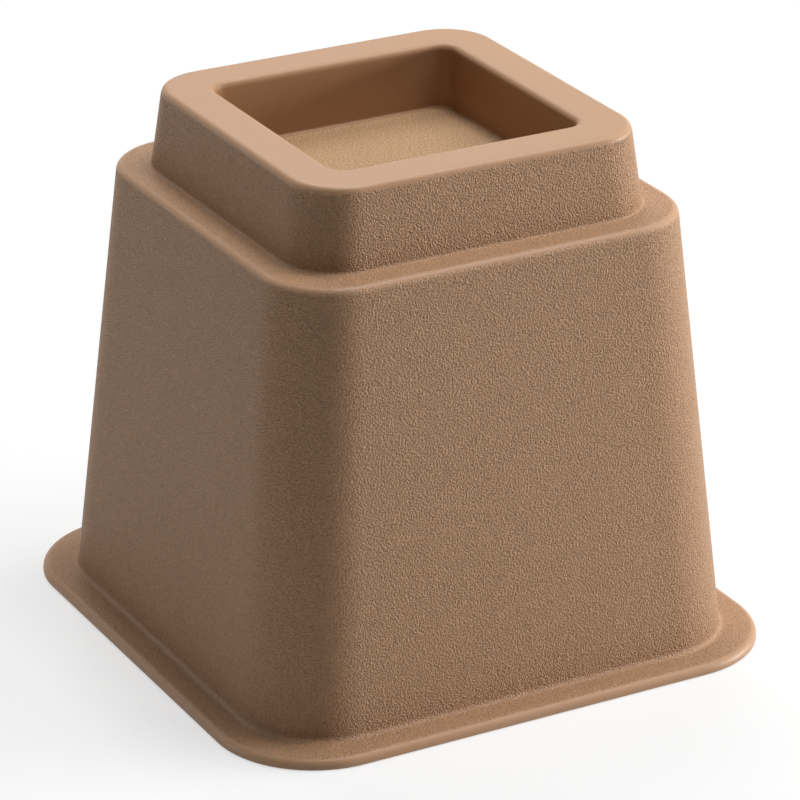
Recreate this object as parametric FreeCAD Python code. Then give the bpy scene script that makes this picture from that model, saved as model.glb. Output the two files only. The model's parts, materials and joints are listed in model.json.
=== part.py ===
"""Square bed riser, injection-moulded in one piece of polypropylene.

A tapered hollow body stands on a flange and carries a smaller collar, and a shallow cup in the
collar's top takes a furniture leg. The origin is at the middle of the base, +Z points up, and
lengths are in millimetres.
"""

import FreeCAD, Part
import math
import os

# Heights
lift = 126.5  # floor to the seat that the furniture leg stands on
cup_depth = 18.2  # seat to the rim
collar_height = 22.0  # ledge to the rim
flange_thickness = 2.8

# Widths and drafts, from the cup outwards
cup_mouth_width = 72.4
cup_draft = 0.7  # degrees
rim_width = 12.9  # cup mouth to the collar's top edge
collar_draft = 7.0  # degrees
ledge_width = 8.0  # collar's foot to the body's top edge
body_draft = 5.35  # degrees
flange_reach = 8.7  # body's foot to the flange's outer edge

# Corner radii in plan
cup_mouth_corner = 5.0
cup_seat_corner = 4.6
collar_top_corner = 14.4
collar_foot_corner = 15.5
body_top_corner = 19.6
body_foot_corner = 23.0
flange_corner = 28.2

# Rounded edges
cup_mouth_edge = 1.8
cup_seat_edge = 0.8
rim_edge = 1.9
ledge_edge = 2.3
flange_edge = 2.0
collar_foot_fillet = 1.0
body_foot_fillet = 1.6
core_edge = 1.5  # edges and least corner radius of the hollow underneath

# Walls and ribs
wall = 3.5  # body, ledge, collar and rim
cup_wall = 3.0
seat_thickness = 4.0
rib_root_thickness = 3.2  # at the seat
rib_foot_thickness = 2.4  # at the rib's lower edge
rib_foot_gap = 2.0  # floor to the rib's lower edge

# Largest share of a wall or step that a rounded edge takes
edge_share = 0.9

# Levels
overall_height = lift + cup_depth
ledge_height = overall_height - collar_height
ledge_underside = ledge_height - wall
rim_underside = overall_height - wall
seat_underside = lift - seat_thickness


def spread(height, draft):
    """How much wider a square tapered wall gets over a height."""
    return 2 * height * math.tan(math.radians(draft))


# Widths at each level
cup_seat_width = cup_mouth_width - spread(cup_depth, cup_draft)
collar_top_width = cup_mouth_width + 2 * rim_width
collar_foot_width = collar_top_width + spread(collar_height, collar_draft)
body_top_width = collar_foot_width + 2 * ledge_width
body_foot_width = body_top_width + spread(ledge_height - flange_thickness, body_draft)
flange_width = body_foot_width + 2 * flange_reach


class Section:
    """A rounded square across the Z axis: its width over the flats, corner radius and height."""

    def __init__(self, width, corner, height):
        self.width = width
        self.corner = corner
        self.height = height

    def wire(self):
        """The section's outline, four straight sides joined by four quarter-circles."""
        half = self.width / 2
        flat = half - self.corner
        bulge = flat + self.corner * math.sqrt(0.5)
        quarter_points = [(half, -flat), (half, flat), (bulge, bulge), (flat, half)]
        edges = []
        for quarter in range(4):
            turn = FreeCAD.Rotation(FreeCAD.Vector(0, 0, 1), 90 * quarter)
            points = [turn.multVec(FreeCAD.Vector(x, y, self.height)) for x, y in quarter_points]
            side_start, side_end, corner_middle, corner_end = points
            edges.append(Part.LineSegment(side_start, side_end).toShape())
            edges.append(Part.Arc(side_end, corner_middle, corner_end).toShape())
        return Part.Wire(edges)


class Taper:
    """Straight sides between two sections, such as a wall's outside or the hollow within it."""

    def __init__(self, low, high):
        self.low = low
        self.high = high

    def section(self, height):
        """The section at any height, also past the two ends."""
        share = (height - self.low.height) / (self.high.height - self.low.height)
        width = self.low.width + share * (self.high.width - self.low.width)
        corner = self.low.corner + share * (self.high.corner - self.low.corner)
        return Section(width, corner, height)

    def between(self, bottom, top):
        """The same sides between two other heights."""
        return Taper(self.section(bottom), self.section(top))

    def offset(self, distance):
        """The sides moved out by a distance, or in where it is negative."""

        def moved(section):
            corner = max(section.corner + distance, core_edge)
            return Section(section.width + 2 * distance, corner, section.height)

        return Taper(moved(self.low), moved(self.high))

    def solid(self):
        """The block that the sides enclose."""
        return Part.makeLoft([self.low.wire(), self.high.wire()], True, True)


def across(thickness, draft):
    """A wall's thickness measured level, where the wall leans by its draft."""
    return thickness / math.cos(math.radians(draft))


def ring(shape, section):
    """The edges of a shape that run round a section's outline."""
    tolerance = 1e-4
    found = []
    for edge in shape.Edges:
        ends = [vertex.Point for vertex in edge.Vertexes]
        level = all(abs(end.z - section.height) < tolerance for end in ends)
        reach = [max(abs(end.x), abs(end.y)) for end in ends]
        if level and all(abs(value - section.width / 2) < tolerance for value in reach):
            found.append(edge)
    return found


def rounded(shape, section, radius, room):
    """The shape with a section's edges rounded, by no more than the room beside them allows."""
    return shape.makeFillet(min(radius, edge_share * room), ring(shape, section))


# Faces of the walls
flange_side = Taper(
    Section(flange_width, flange_corner, 0),
    Section(flange_width, flange_corner, flange_thickness),
)
body_side = Taper(
    Section(body_foot_width, body_foot_corner, flange_thickness),
    Section(body_top_width, body_top_corner, ledge_height),
)
collar_side = Taper(
    Section(collar_foot_width, collar_foot_corner, ledge_height),
    Section(collar_top_width, collar_top_corner, overall_height),
)
cup_side = Taper(
    Section(cup_seat_width, cup_seat_corner, lift),
    Section(cup_mouth_width, cup_mouth_corner, overall_height),
)


def outside():
    """Flange, body and collar as one block with its outer edges rounded."""
    block = flange_side.solid().fuse([body_side.solid(), collar_side.solid()]).removeSplitter()
    ledge_room = ledge_width / 2
    flange_room = flange_reach / 2
    block = rounded(block, collar_side.high, rim_edge, rim_width / 2)
    block = rounded(block, collar_side.low, collar_foot_fillet, ledge_room)
    block = rounded(block, body_side.high, ledge_edge, ledge_room)
    block = rounded(block, body_side.low, body_foot_fillet, flange_room)
    return rounded(block, flange_side.high, flange_edge, min(flange_thickness, flange_room))


def cup_hollow():
    """The space in the top that takes the furniture leg, cut out past the rim."""
    hollow = cup_side.between(lift, overall_height + wall).solid()
    return rounded(hollow, cup_side.low, cup_seat_edge, cup_depth / 2)


def cup_outside():
    """The cup's outer walls and underside, which hang into the hollow underneath."""
    block = cup_side.offset(cup_wall).between(seat_underside, overall_height)
    return rounded(block.solid(), block.low, core_edge, seat_thickness)


def ribs():
    """Two crossing upright ribs under the seat, thinner towards the floor for the mould's draft."""
    reach = flange_width / 2
    root = rib_root_thickness / 2
    foot = rib_foot_thickness / 2
    half_profile = [(foot, rib_foot_gap), (root, seat_underside), (root, overall_height)]
    profile = [FreeCAD.Vector(-reach, y, z) for y, z in half_profile]
    profile += [FreeCAD.Vector(-reach, -y, z) for y, z in reversed(half_profile)]
    face = Part.Face(Part.makePolygon(profile + profile[:1]))
    along_x = face.extrude(FreeCAD.Vector(2 * reach, 0, 0))
    along_y = along_x.copy()
    along_y.rotate(FreeCAD.Vector(0, 0, 0), FreeCAD.Vector(0, 0, 1), 90)
    return along_x.fuse(along_y)


def underside_hollow():
    """The space under the ledge and the rim, round the cup and between the ribs."""
    body_core = body_side.offset(-across(wall, body_draft)).between(-wall, ledge_underside)
    collar_core = collar_side.offset(-across(wall, collar_draft))
    collar_core = collar_core.between(ledge_underside - wall, rim_underside)
    body_space = rounded(body_core.solid(), body_core.high, core_edge, ledge_width / 2)
    collar_space = rounded(collar_core.solid(), collar_core.high, core_edge, rim_width / 2)
    return body_space.fuse(collar_space).cut(cup_outside()).cut(ribs())


def bed_riser():
    """The whole moulding, with the cup's mouth rounded last."""
    moulding = outside().cut(underside_hollow()).cut(cup_hollow())
    return rounded(moulding, cup_side.high, cup_mouth_edge, min(rim_width / 2, cup_depth / 2))


os.makedirs("parts", exist_ok=True)
riser = bed_riser()
riser.exportStep("parts/bed_riser.step")

size = riser.optimalBoundingBox()
print(f"bed_riser: valid {riser.isValid()}, {len(riser.Solids)} solid, {riser.Volume / 1000:.1f} cm3")
print(f"size {size.XLength:.2f} x {size.YLength:.2f} x {size.ZLength:.2f} mm")
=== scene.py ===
"""Looks of a moulded bed riser: a smooth mesh of the moulding, its grained plastic and a plain studio.

The file is laid out as a Blender add-on and run as a script. Lengths are in metres, in the frame of the
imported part: the origin is at the middle of the base, and +Z points up.
"""

import json
import math
from collections import namedtuple

import bmesh
import bpy
from mathutils import Matrix, Vector


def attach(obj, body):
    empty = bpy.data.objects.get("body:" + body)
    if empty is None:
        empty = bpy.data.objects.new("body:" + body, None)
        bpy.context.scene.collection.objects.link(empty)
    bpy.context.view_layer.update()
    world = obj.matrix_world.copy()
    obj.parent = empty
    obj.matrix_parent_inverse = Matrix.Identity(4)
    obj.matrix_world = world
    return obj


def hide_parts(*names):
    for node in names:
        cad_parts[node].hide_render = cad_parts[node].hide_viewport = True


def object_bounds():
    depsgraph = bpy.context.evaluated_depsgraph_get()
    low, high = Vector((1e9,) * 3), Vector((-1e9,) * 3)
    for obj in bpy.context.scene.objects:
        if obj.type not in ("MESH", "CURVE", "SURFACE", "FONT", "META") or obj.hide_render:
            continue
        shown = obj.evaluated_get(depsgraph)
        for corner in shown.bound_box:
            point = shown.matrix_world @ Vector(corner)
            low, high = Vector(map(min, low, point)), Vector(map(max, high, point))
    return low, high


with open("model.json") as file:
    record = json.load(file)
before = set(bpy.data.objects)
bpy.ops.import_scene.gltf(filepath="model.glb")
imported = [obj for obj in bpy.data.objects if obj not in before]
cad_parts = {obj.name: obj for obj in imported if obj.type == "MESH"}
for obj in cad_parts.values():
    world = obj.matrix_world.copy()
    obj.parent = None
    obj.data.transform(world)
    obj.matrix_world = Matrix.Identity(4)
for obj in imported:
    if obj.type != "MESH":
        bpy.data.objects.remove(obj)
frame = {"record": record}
cad_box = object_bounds()

bl_info = {
    "name": "Moulded bed riser",
    "version": (1, 0, 0),
    "blender": (4, 5, 0),
    "location": "3D View > Sidebar > Bed riser",
    "description": "Builds a moulded bed riser and the studio that it stands in",
    "category": "Object",
}

MM = 0.001
SEAT_HEIGHT = next(m["pos_m"][2] for m in frame["record"]["mounts"] if m["name"] == "leg_seat")
RIM_HEIGHT = cad_box[1].z

# Quads of the mesh round a corner of the plan and over a rounded edge, and the longest quad up a wall
CORNER_STEPS = 18
EDGE_STEPS = 8
LONGEST_QUAD = 15 * MM
# Distance from a rounded edge to the loop that keeps the face beside it flat, and the shortest face that has
# such loops
SUPPORT = 0.5 * MM
SHORTEST_RUN = 4 * SUPPORT
# Edges that turn by more than this are shaded as sharp
SHARP_ANGLE = math.radians(35)

# The floor is a hair below the riser, so that the two faces don't flicker where they meet
FLOOR_GAP = 0.1 * MM

# How much of the grain's depth the faces have: the walls, then the ledge, the flange and the seat, then the
# rim, then the band between the rim and the line where the grain begins
WALL_GRAIN = 1.0
FLAT_GRAIN = 0.75
RIM_GRAIN = 0.1
BAND_GRAIN = 0.3
# How much of the grain rounded edges and fillets lose midway
EDGE_SMOOTHING = 1.0
FILLET_SMOOTHING = 0.5

# How much of the rim's shine the cup's walls and that band have
CUP_POLISH = 0.25
BAND_POLISH = 0.8


def linear(hex_colour):
    """The linear RGBA of an sRGB colour such as #b28b6e."""
    channels = [int(hex_colour[place : place + 2], 16) / 255 for place in (1, 3, 5)]
    return [c / 12.92 if c <= 0.04045 else ((c + 0.055) / 1.055) ** 2.4 for c in channels] + [1.0]


def between(first, last, share):
    """The number part of the way from one to another."""
    return first + (last - first) * share


def length(name, description, metres):
    """A property that holds a length."""
    return bpy.props.FloatProperty(
        name=name,
        description=description,
        default=metres,
        min=0.0,
        precision=4,
        unit="LENGTH",
        subtype="DISTANCE",
    )


def angle(name, description, degrees):
    """A property that holds an angle."""
    return bpy.props.FloatProperty(
        name=name, description=description, default=math.radians(degrees), unit="ROTATION", subtype="ANGLE"
    )


def factor(name, description, default):
    """A property that holds a share from 0 to 1."""
    return bpy.props.FloatProperty(
        name=name, description=description, default=default, min=0.0, max=1.0, subtype="FACTOR"
    )


def colour(name, description, hex_colour):
    """A property that holds a colour."""
    return bpy.props.FloatVectorProperty(
        name=name,
        description=description,
        default=linear(hex_colour),
        size=4,
        min=0.0,
        max=1.0,
        subtype="COLOR",
    )


class RiserSizes(bpy.types.PropertyGroup):
    """Sizes of the moulding."""

    lift: length("Lift", "Floor to the seat that the furniture leg stands on", SEAT_HEIGHT)
    height: length("Height", "Floor to the rim", RIM_HEIGHT)
    collar_height: length("Collar height", "Ledge to the rim", 22.0 * MM)
    flange_thickness: length("Flange thickness", "Height of the flange's outer edge", 2.8 * MM)

    cup_mouth_width: length("Cup mouth width", "Across the cup's mouth", 72.4 * MM)
    cup_draft: angle("Cup draft", "Lean of the cup's walls", 0.7)
    rim_width: length("Rim width", "Cup mouth to the collar's top edge", 12.9 * MM)
    collar_draft: angle("Collar draft", "Lean of the collar's walls", 7.0)
    ledge_width: length("Ledge width", "Collar's foot to the body's top edge", 8.0 * MM)
    body_draft: angle("Body draft", "Lean of the body's walls", 5.35)
    flange_reach: length("Flange reach", "Body's foot to the flange's outer edge", 8.7 * MM)

    cup_mouth_corner: length("Cup mouth corner", "Corner radius of the cup's mouth in plan", 5.0 * MM)
    cup_seat_corner: length("Cup seat corner", "Corner radius of the seat in plan", 4.6 * MM)
    collar_top_corner: length("Collar top corner", "Corner radius of the collar's top in plan", 14.4 * MM)
    collar_foot_corner: length("Collar foot corner", "Corner radius of the collar's foot in plan", 15.5 * MM)
    body_top_corner: length("Body top corner", "Corner radius of the body's top in plan", 19.6 * MM)
    body_foot_corner: length("Body foot corner", "Corner radius of the body's foot in plan", 23.0 * MM)
    flange_corner: length("Flange corner", "Corner radius of the flange in plan", 28.2 * MM)

    cup_mouth_edge: length("Cup mouth edge", "Rounding of the cup's mouth", 1.8 * MM)
    cup_seat_edge: length("Cup seat edge", "Rounding where the cup's walls meet the seat", 0.8 * MM)
    rim_edge: length("Rim edge", "Rounding of the rim's outer edge", 1.9 * MM)
    ledge_edge: length("Ledge edge", "Rounding of the ledge's outer edge", 2.3 * MM)
    flange_edge: length("Flange edge", "Rounding of the flange's upper edge", 2.0 * MM)
    foot_edge: length("Foot edge", "Rounding of the flange's lower edge", 0.4 * MM)
    collar_foot_fillet: length("Collar foot fillet", "Rounding where the collar meets the ledge", 1.0 * MM)
    body_foot_fillet: length("Body foot fillet", "Rounding where the body meets the flange", 1.6 * MM)
    core_edge: length("Core edge", "Rounding of the hollow under the ledge and the rim", 1.5 * MM)
    witness_drop: length("Witness drop", "Rim to the line where the polished rim meets the grain", 1.8 * MM)
    witness_step: length("Witness step", "How far the grained wall stands out at that line", 0.05 * MM)

    wall: length("Wall", "Thickness of the body, the ledge, the collar and the rim", 3.5 * MM)
    cup_wall: length("Cup wall", "Thickness of the cup's walls", 3.0 * MM)
    seat_thickness: length("Seat thickness", "Thickness of the cup's floor", 4.0 * MM)
    rib_root_thickness: length("Rib root thickness", "Thickness of the ribs at the seat", 3.2 * MM)
    rib_foot_thickness: length("Rib foot thickness", "Thickness of the ribs at their lower edge", 2.4 * MM)
    rib_foot_gap: length("Rib foot gap", "Floor to the ribs' lower edge", 2.0 * MM)


class RiserFinish(bpy.types.PropertyGroup):
    """Finish of the moulded plastic, and the light and shade painted into its colour."""

    plastic: colour("Plastic", "Colour of the pigmented plastic", "#a88261")
    # Painted light on the seat: its grain crests turn pale, which also brightens the shaded seat as a whole
    painted_seat_light: colour("Speck", "Colour of the pale specks on the seat", "#c19f78")
    painted_seat_light_spread: factor("Speck spread", "Rise of the grain over which the specks turn pale", 0.5)
    # Painted shade in the grain's pits and painted light on its crests, as a share of the colour
    painted_relief_shade: factor("Cavity", "How much darker the grain's pits are, and how much lighter its crests", 0.4)
    roughness: factor("Roughness", "Roughness of the smooth plastic", 0.45)
    grain_roughness: factor("Grain roughness", "Roughness of the grained plastic", 0.5)
    shine: factor("Shine", "Reflection of the smooth plastic, which is full at a half", 0.5)
    grain_shine: factor("Grain shine", "Reflection that the grained plastic has left", 0.26)
    grain_pitch: length("Grain pitch", "Distance from one grain to the next", 0.5 * MM)
    grain_depth: length("Grain depth", "Depth of the grain from crest to pit", 0.25 * MM)


class StudioSettings(bpy.types.PropertyGroup):
    """Floor, light and camera."""

    floor: colour("Floor", "Colour of the floor as it is seen", "#f0f0f0")
    floor_bounce: colour("Floor bounce", "Colour of the light that the floor throws back", "#e1e1e1")
    floor_size: length("Floor size", "Width of the floor", 8.0)
    shadow: factor("Shadow", "How much of the riser's shadow shows beside it", 0.4)
    near_floor: length("Near floor", "Middle of the floor to where it starts to fade to white", 0.1)
    far_floor: length("Far floor", "Middle of the floor to where it is white", 0.4)
    world_level: factor("World level", "Level of the even light from all round", 0.02)
    camera_azimuth: angle("Camera azimuth", "Turn of the camera from the front, towards +X", -28.6)
    camera_elevation: angle("Camera elevation", "Rise of the camera above the horizon", 23.92)
    camera_distance: length("Camera distance", "Camera to the point that it looks at", 1149.2 * MM)
    camera_aim: bpy.props.FloatVectorProperty(
        name="Camera aim",
        description="Point that the camera looks at",
        default=(0.5 * MM, -2.5 * MM, 60.7 * MM),
        unit="LENGTH",
        subtype="TRANSLATION",
    )
    camera_lens: bpy.props.FloatProperty(
        name="Camera lens", description="Focal length", default=192.0, unit="CAMERA"
    )


# A corner of the moulding's section, before it is rounded: half the width, the corner radius in plan, the
# height, the rounding of the edge, and how much grain and how much of the shine the face after it has
Bend = namedtuple("Bend", "half corner height edge grain polish", defaults=[1.0])
# A level round which the mesh has a loop of vertices
Station = namedtuple("Station", "half corner height grain polish")


def mixed(first, last, share):
    """The station part of the way from one to another."""
    return Station(*(between(a, b, share) for a, b in zip(first, last)))


def rounded_bend(before, bend, after):
    """Stations over a rounded edge, concentric with the bend's corners in plan, with less grain midway."""
    place = Vector((bend.half, bend.height))
    back = (Vector((before.half, before.height)) - place).normalized()
    ahead = (Vector((after.half, after.height)) - place).normalized()
    half_angle = back.angle(ahead) / 2
    reach = bend.edge / math.tan(half_angle)
    centre = place + (back + ahead).normalized() * bend.edge / math.sin(half_angle)
    start = place + back * reach - centre
    end = place + ahead * reach - centre
    smoothing = EDGE_SMOOTHING if back.cross(ahead) > 0 else FILLET_SMOOTHING
    stations = []
    for step in range(EDGE_STEPS + 1):
        share = step / EDGE_STEPS
        point = centre + start.slerp(end, share) * bend.edge
        corner = bend.corner + point.x - bend.half
        midway = 1 - abs(2 * share - 1)
        grain = between(before.grain, bend.grain, share) * (1 - smoothing * midway)
        polish = between(before.polish, bend.polish, share)
        stations.append(Station(point.x, corner, point.y, grain, polish))
    return stations


def straight_run(first, last):
    """Stations between two others, with loops close to both ends that keep the face between them flat."""
    run = math.hypot(last.half - first.half, last.height - first.height)
    if run < SHORTEST_RUN:
        return []
    quads = math.ceil(run / LONGEST_QUAD)
    shares = [SUPPORT / run, *(quad / quads for quad in range(1, quads)), 1 - SUPPORT / run]
    return [mixed(first, last, share) for share in shares]


def sharp_bend(bend):
    """The station of a bend that has no rounding."""
    return Station(bend.half, bend.corner, bend.height, bend.grain, bend.polish)


def stations_along(bends):
    """Stations along a section, from its first bend to its last, which have no rounding."""
    stations = [sharp_bend(bends[0])]
    for before, bend, after in zip(bends, bends[1:], bends[2:]):
        if bend.edge:
            turn = rounded_bend(before, bend, after)
        else:
            turn = [sharp_bend(bend)]
        stations += straight_run(stations[-1], turn[0]) + turn
    last = sharp_bend(bends[-1])
    return stations + straight_run(stations[-1], last) + [last]


def spread(height, draft):
    """How far a leaning wall moves out over a height."""
    return height * math.tan(draft)


class Section:
    """The moulding's section, worked out from its sizes."""

    def __init__(self, sizes):
        s = sizes
        self.sizes = s
        self.ledge_height = s.height - s.collar_height
        self.ledge_underside = self.ledge_height - s.wall
        self.rim_underside = s.height - s.wall
        self.seat_underside = s.lift - s.seat_thickness
        self.cup_mouth = s.cup_mouth_width / 2
        self.cup_seat = self.cup_mouth - spread(s.height - s.lift, s.cup_draft)
        self.collar_top = self.cup_mouth + s.rim_width
        self.collar_foot = self.collar_top + spread(s.collar_height, s.collar_draft)
        self.body_top = self.collar_foot + s.ledge_width
        self.body_foot = self.body_top + spread(self.ledge_height - s.flange_thickness, s.body_draft)
        self.flange = self.body_foot + s.flange_reach

    def rib_half(self, height):
        """Half the ribs' thickness at a height."""
        s = self.sizes
        share = (height - s.rib_foot_gap) / (self.seat_underside - s.rib_foot_gap)
        return between(s.rib_foot_thickness, s.rib_root_thickness, share) / 2

    def body_core(self, height, edge=0.0):
        """The hollow's face inside the body wall."""
        s = self.sizes
        below = self.ledge_height - height
        share = below / (self.ledge_height - s.flange_thickness)
        inset = s.wall / math.cos(s.body_draft)
        corner = between(s.body_top_corner, s.body_foot_corner, share)
        half = self.body_top + spread(below, s.body_draft)
        return Bend(half - inset, corner - inset, height, edge, 0.0)

    def collar_core(self, height, edge=0.0):
        """The hollow's face inside the collar wall."""
        s = self.sizes
        below = s.height - height
        share = below / s.collar_height
        inset = s.wall / math.cos(s.collar_draft)
        corner = between(s.collar_top_corner, s.collar_foot_corner, share)
        half = self.collar_top + spread(below, s.collar_draft)
        return Bend(half - inset, corner - inset, height, edge, 0.0)

    def cup_outside(self, height, edge=0.0):
        """The cup's outer face, in the hollow."""
        s = self.sizes
        below = s.height - height
        share = below / (s.height - s.lift)
        corner = between(s.cup_mouth_corner, s.cup_seat_corner, share)
        half = self.cup_mouth - spread(below, s.cup_draft)
        return Bend(half + s.cup_wall, corner + s.cup_wall, height, edge, 0.0)

    def outside(self):
        """Stations from the seat over the rim and down the outside to the ribs' lower edge."""
        s = self.sizes
        border = s.cup_seat_edge + SUPPORT
        line_corner = between(s.collar_top_corner, s.collar_foot_corner, s.witness_drop / s.collar_height)
        line_half = self.collar_top + spread(s.witness_drop, s.collar_draft)
        line_height = s.height - s.witness_drop
        # The step at the line goes out by the inset and down by half of it
        inset = s.witness_step
        band = (BAND_GRAIN, BAND_POLISH)
        return stations_along([
            Bend(self.cup_seat - border, s.cup_seat_corner - border, s.lift, 0.0, FLAT_GRAIN),
            Bend(self.cup_seat, s.cup_seat_corner, s.lift, s.cup_seat_edge, 0.0, CUP_POLISH),
            Bend(self.cup_mouth, s.cup_mouth_corner, s.height, s.cup_mouth_edge, RIM_GRAIN),
            Bend(self.collar_top - inset, s.collar_top_corner - inset, s.height, s.rim_edge, *band),
            Bend(line_half - inset, line_corner - inset, line_height, 0.0, *band),
            Bend(line_half, line_corner, line_height - inset / 2, 0.0, WALL_GRAIN),
            Bend(self.collar_foot, s.collar_foot_corner, self.ledge_height, s.collar_foot_fillet, FLAT_GRAIN),
            Bend(self.body_top, s.body_top_corner, self.ledge_height, s.ledge_edge, WALL_GRAIN),
            Bend(self.body_foot, s.body_foot_corner, s.flange_thickness, s.body_foot_fillet, FLAT_GRAIN),
            Bend(self.flange, s.flange_corner, s.flange_thickness, s.flange_edge, 0.0),
            Bend(self.flange, s.flange_corner, 0.0, s.foot_edge, 0.0),
            self.body_core(0.0),
            self.body_core(s.rib_foot_gap),
        ])

    def inside(self):
        """Stations from the ribs' lower edge up the hollow, round the rim's channel and under the seat."""
        s = self.sizes
        cup_foot = self.cup_outside(self.seat_underside, s.core_edge)
        border = 2 * s.core_edge
        return stations_along([
            self.body_core(s.rib_foot_gap),
            self.body_core(self.ledge_underside, s.core_edge),
            self.collar_core(self.ledge_underside),
            self.collar_core(self.rim_underside, s.core_edge),
            self.cup_outside(self.rim_underside),
            cup_foot,
            cup_foot._replace(half=cup_foot.half - border, corner=cup_foot.corner - border, edge=0.0),
        ])


# The points that a side of the plan has, from one corner to the next, and the last of them before the rib
SIDE_POINTS = 6
BEFORE_RIB = 2
# Points of a quarter of the plan, which is a side and a corner
QUARTER = SIDE_POINTS + CORNER_STEPS - 1
# Point in the middle of the first corner
MIDDLE_OF_CORNER = SIDE_POINTS - 1 + CORNER_STEPS // 2


def plan(station, rib_half):
    """Points round a rounded square, with a pair on each side where a rib's faces meet it."""
    flat = station.half - station.corner
    side = [-flat, -flat / 2, -rib_half, rib_half, flat / 2, flat]
    quarter = [(station.half, along) for along in side]
    for step in range(1, CORNER_STEPS):
        turn = math.pi / 2 * step / CORNER_STEPS
        quarter.append((flat + station.corner * math.cos(turn), flat + station.corner * math.sin(turn)))
    points = []
    for turns in range(4):
        spin = Matrix.Rotation(math.pi / 2 * turns, 3, "Z")
        points += [spin @ Vector((x, y, station.height)) for x, y in quarter]
    return points


class MouldingMesh:
    """The mesh of the moulding, made loop by loop."""

    def __init__(self, section):
        self.section = section
        self.mesh = bmesh.new()
        self.grain = self.mesh.verts.layers.float.new("grain")
        self.polish = self.mesh.verts.layers.float.new("polish")
        # Marks the seat, where painted light makes the grain crests pale
        self.frost = self.mesh.verts.layers.float.new("frost")

    def vertex(self, place, grain=0.0, polish=1.0):
        """A vertex with its share of the grain and of the shine."""
        made = self.mesh.verts.new(place)
        made[self.grain] = grain
        made[self.polish] = polish
        return made

    def loop(self, station):
        """A loop of vertices round a station."""
        points = plan(station, self.section.rib_half(station.height))
        return [self.vertex(point, station.grain, station.polish) for point in points]

    def bridge(self, first, last, with_ribs):
        """Quads between two loops, left open where ribs cross them."""
        for place in range(len(first)):
            if with_ribs and place % QUARTER == BEFORE_RIB:
                continue
            following = (place + 1) % len(first)
            self.mesh.faces.new((first[place], first[following], last[following], last[place]))

    def patch(self, near, right, far, left, grain):
        """A grid of quads within four runs of vertices, which returns the vertices that it adds.

        Near and far go from left to right, and left and right go from near to far.
        """
        steps = len(near) - 1
        made = []
        rows = [near]
        for row in range(1, steps):
            v = row / steps
            inner = []
            for column in range(1, steps):
                u = column / steps
                sides = near[column].co.lerp(far[column].co, v) + left[row].co.lerp(right[row].co, u)
                corners = near[0].co.lerp(near[-1].co, u).lerp(far[0].co.lerp(far[-1].co, u), v)
                inner.append(self.vertex(sides - corners, grain))
            rows.append([left[row], *inner, right[row]])
            made += inner
        rows.append(far)
        for low, high in zip(rows, rows[1:]):
            for place in range(steps):
                self.mesh.faces.new((low[place], low[place + 1], high[place + 1], high[place]))
        return made

    def seat(self, loop):
        """The cup's floor, within its loop, marked for the pale specks of painted light."""
        loop = loop[MIDDLE_OF_CORNER:] + loop[:MIDDLE_OF_CORNER]
        loop.append(loop[0])
        near, right, far, left = [loop[QUARTER * side : QUARTER * (side + 1) + 1] for side in range(4)]
        made = self.patch(near, right, far[::-1], left[::-1], FLAT_GRAIN)
        for vertex in loop + made:
            vertex[self.frost] = 1.0

    def run(self, first, last, steps):
        """Vertices in line from one to another, both included."""
        inner = [first.co.lerp(last.co, step / steps) for step in range(1, steps)]
        return [first, *(self.vertex(place) for place in inner), last]

    def compartments(self, loops):
        """The seat's underside and the ribs' faces and lower edges, over loops that the ribs leave open."""
        section = self.section
        foot_height = section.sizes.rib_foot_gap
        feet = []
        for quarter in range(4):
            spin = Matrix.Rotation(math.pi / 2 * quarter, 3, "Z")
            first = quarter * QUARTER + BEFORE_RIB + 1
            places = [(first + step) % len(loops[0]) for step in range(QUARTER)]
            root_half = section.rib_half(section.seat_underside)
            foot_half = section.rib_half(foot_height)
            root = self.vertex(spin @ Vector((root_half, root_half, section.seat_underside)))
            foot = self.vertex(spin @ Vector((foot_half, foot_half, foot_height)))
            feet.append(foot)
            edge = [loops[-1][place] for place in places]
            steps = QUARTER // 2
            near = self.run(root, edge[0], steps)
            left = self.run(root, edge[-1], steps)
            self.patch(near, edge[: steps + 1], edge[steps:][::-1], left, 0.0)
            for place, run in ((places[0], near), (places[-1], left)):
                self.mesh.faces.new([*(loop[place] for loop in loops), *run[-2::-1], foot])
        for quarter in range(4):
            before_rib = loops[0][quarter * QUARTER + BEFORE_RIB]
            after_rib = loops[0][quarter * QUARTER + BEFORE_RIB + 1]
            self.mesh.faces.new((before_rib, after_rib, feet[quarter], feet[quarter - 1]))
        self.mesh.faces.new(feet)

    def finished(self, name):
        """The whole moulding as a mesh."""
        outer = [self.loop(station) for station in self.section.outside()]
        inner = [outer[-1]] + [self.loop(station) for station in self.section.inside()[1:]]
        for first, last in zip(outer, outer[1:]):
            self.bridge(first, last, with_ribs=False)
        for first, last in zip(inner, inner[1:]):
            self.bridge(first, last, with_ribs=True)
        self.seat(outer[0])
        self.compartments(inner)
        bmesh.ops.recalc_face_normals(self.mesh, faces=self.mesh.faces)
        mesh = bpy.data.meshes.new(name)
        self.mesh.to_mesh(mesh)
        self.mesh.free()
        mesh.shade_smooth()
        mesh.set_sharp_from_angle(angle=SHARP_ANGLE)
        return mesh


def add_node(tree, kind, settings=None, links=None):
    """Adds a node: settings go to its attributes or inputs, and links join its inputs to outputs."""
    node = tree.nodes.new(kind)
    for name, value in (settings or {}).items():
        if isinstance(name, str) and hasattr(node, name):
            setattr(node, name, value)
        else:
            node.inputs[name].default_value = value
    for name, socket in (links or {}).items():
        tree.links.new(socket, node.inputs[name])
    return node


# Sockets of a Mix node that mixes colours
MIX_FACTOR = 0
MIX_FIRST = 6
MIX_LAST = 7
MIX_RESULT = 2


def new_material(name):
    """An empty node material, with its tree and its output node."""
    material = bpy.data.materials.new(name)
    material.use_nodes = True
    material.node_tree.nodes.clear()
    return material, material.node_tree, add_node(material.node_tree, "ShaderNodeOutputMaterial")


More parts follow.
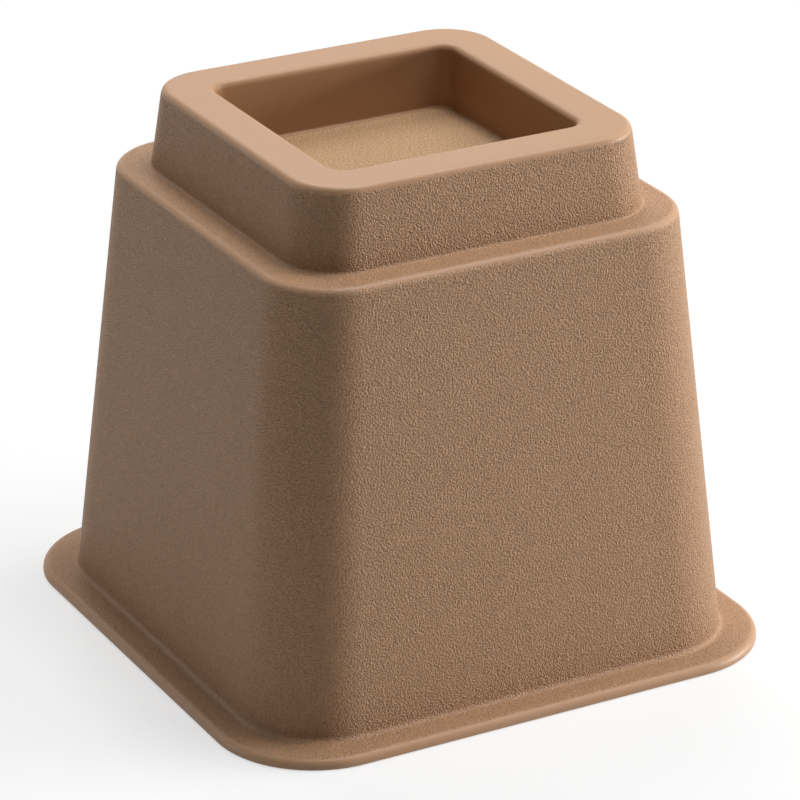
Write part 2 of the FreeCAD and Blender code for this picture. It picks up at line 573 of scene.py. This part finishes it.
def moulded_polypropylene(finish):
    """Polypropylene with a pigment, injection-moulded in a spark-eroded tool.

    The tool leaves a fine pebbled grain on the outer walls and flats, which scatters light from the side. Its
    pits are painted darker, as painted shade, and its crests lighter, as painted light. On the seat the
    crests are painted as pale specks, painted light that also brightens the shaded seat as a whole. The rim
    is nearly smooth, with a satin shine, and the cup's walls and the hollow are smooth, the cup's with less
    of that shine.
    """
    material, tree, output = new_material("grained_polypropylene")
    place = add_node(tree, "ShaderNodeTexCoord").outputs["Object"]
    grained = add_node(tree, "ShaderNodeAttribute", {"attribute_name": "grain"}).outputs["Fac"]
    polished = add_node(tree, "ShaderNodeAttribute", {"attribute_name": "polish"}).outputs["Fac"]
    painted_seat_light_amount = add_node(tree, "ShaderNodeAttribute", {"attribute_name": "frost"}).outputs["Fac"]
    pebbles = add_node(
        tree,
        "ShaderNodeTexNoise",
        {"Scale": 1 / finish.grain_pitch, "Detail": 2.0, "Roughness": 0.5, "normalize": False},
        {"Vector": place},
    ).outputs["Fac"]
    height = add_node(
        tree, "ShaderNodeMath", {"operation": "MULTIPLY"}, {0: pebbles, 1: grained}
    ).outputs["Value"]
    bump = add_node(
        tree, "ShaderNodeBump", {"Strength": 1.0, "Distance": finish.grain_depth}, {"Height": height}
    ).outputs["Normal"]
    # Painted light on the seat: the colour moves towards the pale speck colour on the grain's crests
    painted_seat_light_share = add_node(
        tree,
        "ShaderNodeMapRange",
        {"From Min": -finish.painted_seat_light_spread, "From Max": finish.painted_seat_light_spread},
        {"Value": pebbles, "To Max": painted_seat_light_amount},
    ).outputs["Result"]
    plastic_with_painted_seat_light = add_node(
        tree,
        "ShaderNodeMix",
        {"data_type": "RGBA", MIX_FIRST: finish.plastic, MIX_LAST: finish.painted_seat_light},
        {MIX_FACTOR: painted_seat_light_share},
    ).outputs[MIX_RESULT]
    # Painted shade and light: the colour is darker in the grain's pits and lighter on its crests
    painted_relief_shade_factor = add_node(
        tree,
        "ShaderNodeMapRange",
        {"From Min": -1.0, "To Min": 1 - finish.painted_relief_shade, "To Max": 1 + finish.painted_relief_shade},
        {"Value": height},
    ).outputs["Result"]
    paint = add_node(
        tree, "ShaderNodeVectorMath", {"operation": "SCALE"}, {0: plastic_with_painted_seat_light, "Scale": painted_relief_shade_factor}
    ).outputs["Vector"]
    roughness = add_node(
        tree,
        "ShaderNodeMapRange",
        {"To Min": finish.roughness, "To Max": finish.grain_roughness},
        {"Value": grained},
    ).outputs["Result"]
    shine = add_node(
        tree,
        "ShaderNodeMapRange",
        {"To Min": finish.shine, "To Max": finish.grain_shine},
        {"Value": grained},
    ).outputs["Result"]
    shine = add_node(
        tree, "ShaderNodeMath", {"operation": "MULTIPLY"}, {0: shine, 1: polished}
    ).outputs["Value"]
    shader = add_node(
        tree,
        "ShaderNodeBsdfPrincipled",
        {"IOR": 1.49},
        {"Base Color": paint, "Roughness": roughness, "Specular IOR Level": shine, "Normal": bump},
    )
    tree.links.new(shader.outputs["BSDF"], output.inputs["Surface"])
    return material


def seen_directly(tree):
    """1 on rays from the camera and on those that reflections and clear things pass on, and else 0."""
    path = add_node(tree, "ShaderNodeLightPath").outputs
    seen = path["Is Camera Ray"]
    for kind in ("Is Glossy Ray", "Is Transmission Ray"):
        either = add_node(tree, "ShaderNodeMath", {"operation": "MAXIMUM"}, {0: seen, 1: path[kind]})
        seen = either.outputs["Value"]
    return seen


def painted_floor(studio):
    """A matt white studio floor, which shows the riser's soft shadow and fades to white further out."""
    material, tree, output = new_material("matt_studio_floor")
    seen = seen_directly(tree)
    place = add_node(tree, "ShaderNodeTexCoord").outputs["Object"]
    reach = add_node(tree, "ShaderNodeVectorMath", {"operation": "LENGTH"}, {0: place}).outputs["Value"]
    fade = add_node(
        tree,
        "ShaderNodeMapRange",
        {
            "interpolation_type": "SMOOTHSTEP",
            "From Min": studio.near_floor,
            "From Max": studio.far_floor,
            "To Min": 1 - studio.shadow,
        },
        {"Value": reach},
    ).outputs["Result"]
    fade = add_node(tree, "ShaderNodeMath", {"operation": "MULTIPLY"}, {0: fade, 1: seen}).outputs["Value"]
    paint = add_node(
        tree,
        "ShaderNodeMix",
        {"data_type": "RGBA", MIX_FIRST: studio.floor_bounce, MIX_LAST: studio.floor},
        {MIX_FACTOR: seen},
    ).outputs[MIX_RESULT]
    matt = add_node(tree, "ShaderNodeBsdfDiffuse", links={"Color": paint}).outputs["BSDF"]
    white = add_node(tree, "ShaderNodeEmission", {"Color": linear("#ffffff")}).outputs["Emission"]
    surface = add_node(tree, "ShaderNodeMixShader", links={0: fade, 1: matt, 2: white}).outputs["Shader"]
    tree.links.new(surface, output.inputs["Surface"])
    return material


# A lamp of the studio: its direction from the riser, its distance and size, and its level. At a level of 1
# the lamp alone makes a white surface that faces it render white.
Lamp = namedtuple("Lamp", "name azimuth elevation distance size level")
LAMPS = (
    Lamp("overhead_softbox", 85.0, 81.0, 1.2, 0.3, 0.46),
    Lamp("upper_right_softbox", 74.0, 58.0, 1.2, 0.6, 0.36),
    Lamp("right_softbox", 68.0, 7.0, 1.2, 0.5, 1.21),
    Lamp("back_softbox", 169.0, 58.0, 1.2, 0.5, 0.35),
    Lamp("left_softbox", -112.0, 6.0, 1.2, 0.3, 0.14),
)


def direction(azimuth, elevation):
    """The unit vector from the riser towards an azimuth and an elevation. Azimuth 0 is the front, -Y."""
    level = math.cos(elevation)
    return Vector((math.sin(azimuth) * level, -math.cos(azimuth) * level, math.sin(elevation)))


def place_object(name, data, location, back):
    """Adds an object that looks along the reverse of a direction."""
    made = bpy.data.objects.new(name, data)
    bpy.context.scene.collection.objects.link(made)
    made.location = location
    made.rotation_mode = "QUATERNION"
    made.rotation_quaternion = back.to_track_quat("Z", "Y")
    return made


class BED_RISER_OT_moulding(bpy.types.Operator):
    """Build the moulding and give it its plastic."""

    bl_idname = "bed_riser.moulding"
    bl_label = "Build moulding"
    bl_options = {"REGISTER", "UNDO"}

    def execute(self, context):
        section = Section(context.scene.riser_sizes)
        mesh = MouldingMesh(section).finished("riser_moulding")
        mesh.materials.append(moulded_polypropylene(context.scene.riser_finish))
        piece = bpy.data.objects.new("riser_moulding", mesh)
        context.scene.collection.objects.link(piece)
        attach(piece, "root")
        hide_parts("bed_riser")
        return {"FINISHED"}


class BED_RISER_OT_stage(bpy.types.Operator):
    """Set up the floor, the lamps and the camera."""

    bl_idname = "bed_riser.stage"
    bl_label = "Set up stage"
    bl_options = {"REGISTER", "UNDO"}

    def execute(self, context):
        studio = context.scene.riser_studio
        self.make_floor(context, studio)
        self.make_world(context, studio)
        self.make_lamps()
        self.make_camera(context, studio)
        context.scene.view_settings.view_transform = "Standard"
        return {"FINISHED"}

    def make_floor(self, context, studio):
        shape = bmesh.new()
        bmesh.ops.create_grid(shape, x_segments=1, y_segments=1, size=studio.floor_size / 2)
        mesh = bpy.data.meshes.new("studio_floor")
        shape.to_mesh(mesh)
        shape.free()
        mesh.materials.append(painted_floor(studio))
        floor = bpy.data.objects.new("studio_floor", mesh)
        floor.location.z = -FLOOR_GAP
        context.scene.collection.objects.link(floor)

    def make_world(self, context, studio):
        world = bpy.data.worlds.new("studio_world")
        world.use_nodes = True
        tree = world.node_tree
        tree.nodes.clear()
        level = add_node(
            tree,
            "ShaderNodeMapRange",
            {"To Min": studio.world_level, "To Max": 1.0},
            {"Value": seen_directly(tree)},
        ).outputs["Result"]
        background = add_node(
            tree, "ShaderNodeBackground", {"Color": linear("#ffffff")}, {"Strength": level}
        )
        add_node(tree, "ShaderNodeOutputWorld", links={"Surface": background.outputs["Background"]})
        context.scene.world = world

    def make_lamps(self):
        for lamp in LAMPS:
            back = direction(math.radians(lamp.azimuth), math.radians(lamp.elevation))
            light = bpy.data.lights.new(lamp.name, "AREA")
            light.shape = "SQUARE"
            light.size = lamp.size
            light.energy = lamp.level * (math.pi * lamp.distance) ** 2
            place_object(lamp.name, light, back * lamp.distance, back)

    def make_camera(self, context, studio):
        back = direction(studio.camera_azimuth, studio.camera_elevation)
        camera = bpy.data.cameras.new("photo_camera")
        camera.lens = studio.camera_lens
        location = Vector(studio.camera_aim) + back * studio.camera_distance
        context.scene.camera = place_object("photo_camera", camera, location, back)


class BED_RISER_PT_sidebar(bpy.types.Panel):
    """Bed riser's sizes, finish and stage."""

    bl_idname = "BED_RISER_PT_sidebar"
    bl_label = "Bed riser"
    bl_space_type = "VIEW_3D"
    bl_region_type = "UI"
    bl_category = "Bed riser"

    def draw(self, context):
        groups = (context.scene.riser_sizes, context.scene.riser_finish, context.scene.riser_studio)
        for group in groups:
            column = self.layout.column(align=True)
            for name in type(group).__annotations__:
                column.prop(group, name)
        for operator in (BED_RISER_OT_moulding, BED_RISER_OT_stage):
            self.layout.operator(operator.bl_idname)


CLASSES = (
    RiserSizes,
    RiserFinish,
    StudioSettings,
    BED_RISER_OT_moulding,
    BED_RISER_OT_stage,
    BED_RISER_PT_sidebar,
)


def register():
    for cls in CLASSES:
        bpy.utils.register_class(cls)
    bpy.types.Scene.riser_sizes = bpy.props.PointerProperty(type=RiserSizes)
    bpy.types.Scene.riser_finish = bpy.props.PointerProperty(type=RiserFinish)
    bpy.types.Scene.riser_studio = bpy.props.PointerProperty(type=StudioSettings)


def unregister():
    del bpy.types.Scene.riser_studio
    del bpy.types.Scene.riser_finish
    del bpy.types.Scene.riser_sizes
    for cls in reversed(CLASSES):
        bpy.utils.unregister_class(cls)


def main():
    register()
    bpy.ops.bed_riser.moulding()
    bpy.ops.bed_riser.stage()


if __name__ == "__main__":
    main()
